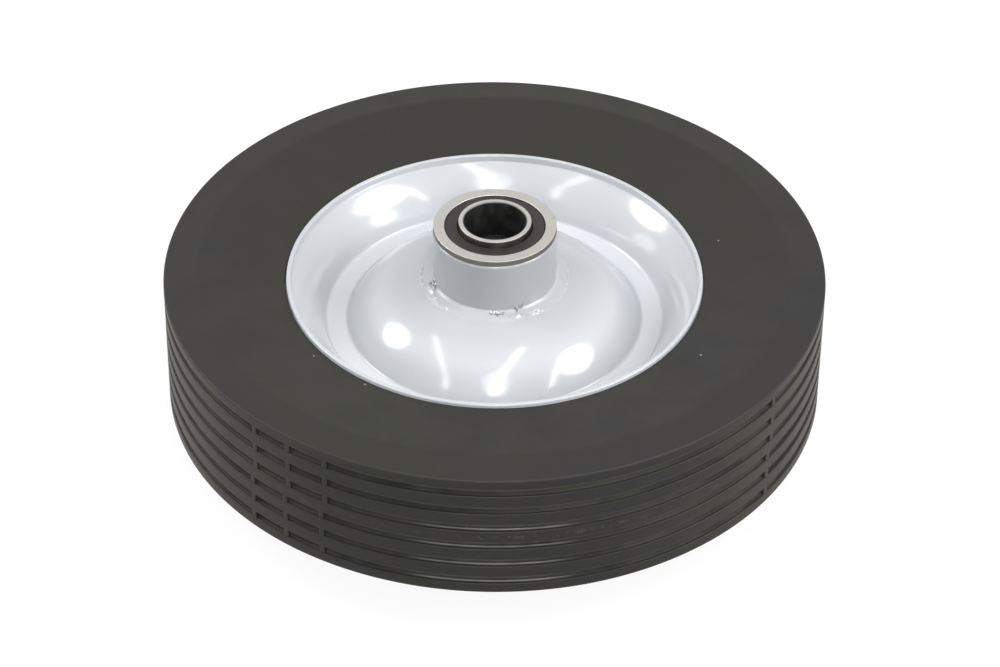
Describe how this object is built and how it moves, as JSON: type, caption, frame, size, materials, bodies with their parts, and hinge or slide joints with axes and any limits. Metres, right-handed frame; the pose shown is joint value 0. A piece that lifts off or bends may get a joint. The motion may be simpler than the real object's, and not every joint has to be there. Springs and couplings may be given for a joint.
{
  "type": "wheel",
  "caption": "Small solid-tyred wheel with ribs around its tread, a split pressed-steel rim, a welded hub tube and sealed flanged ball bearings for a plain axle.",
  "frame": {"origin": "centre of the wheel: on the axle line, half way between its two sides", "axes": "+Z along the axle line, upwards as the wheel stands on its hub; -Y faces the viewer"},
  "size_m": [0.2032, 0.2032, 0.0786],
  "materials": {
    "tyre": "moulded solid rubber",
    "rim_paint": "gloss pale silver paint",
    "hub_paint": "gloss pale silver paint",
    "weld_paint": "painted weld bead",
    "bearing_steel": "ground steel",
    "ball_steel": "polished steel",
    "cage_plastic": "moulded plastic",
    "seal_rubber": "moulded rubber"
  },
  "bodies": {
    "inner_rings": {"upper_bearing_inner_ring": "bearing_steel", "lower_bearing_inner_ring": "bearing_steel"},
    "wheel": {"tyre": "tyre", "hub_tube": "hub_paint", "upper_rim_half": "rim_paint", "upper_hub_weld": "weld_paint", "upper_bearing_outer_ring": "bearing_steel", "upper_bearing_outside_seal": "seal_rubber", "upper_bearing_inside_seal": "seal_rubber", "lower_rim_half": "rim_paint", "lower_hub_weld": "weld_paint", "lower_bearing_outer_ring": "bearing_steel", "lower_bearing_outside_seal": "seal_rubber", "lower_bearing_inside_seal": "seal_rubber"},
    "upper_ball_row": {"upper_bearing_balls": "ball_steel", "upper_bearing_cage": "cage_plastic"},
    "lower_ball_row": {"lower_bearing_balls": "ball_steel", "lower_bearing_cage": "cage_plastic"}
  },
  "joints": [
    {"name": "wheel_spin", "type": "hinge", "parent": "inner_rings", "child": "wheel", "pos_m": [0, 0, 0], "axis": [0, 0, 1], "continuous": true},
    {"name": "upper_ball_row_spin", "type": "hinge", "parent": "inner_rings", "child": "upper_ball_row", "pos_m": [0, 0, 0], "axis": [0, 0, 1], "continuous": true},
    {"name": "lower_ball_row_spin", "type": "hinge", "parent": "inner_rings", "child": "lower_ball_row", "pos_m": [0, 0, 0], "axis": [0, 0, 1], "continuous": true}
  ],
  "couplings": [
    {"joint": "upper_ball_row_spin", "follows": "wheel_spin", "ratio": 0.58848},
    {"joint": "lower_ball_row_spin", "follows": "wheel_spin", "ratio": 0.58848}
  ]
}
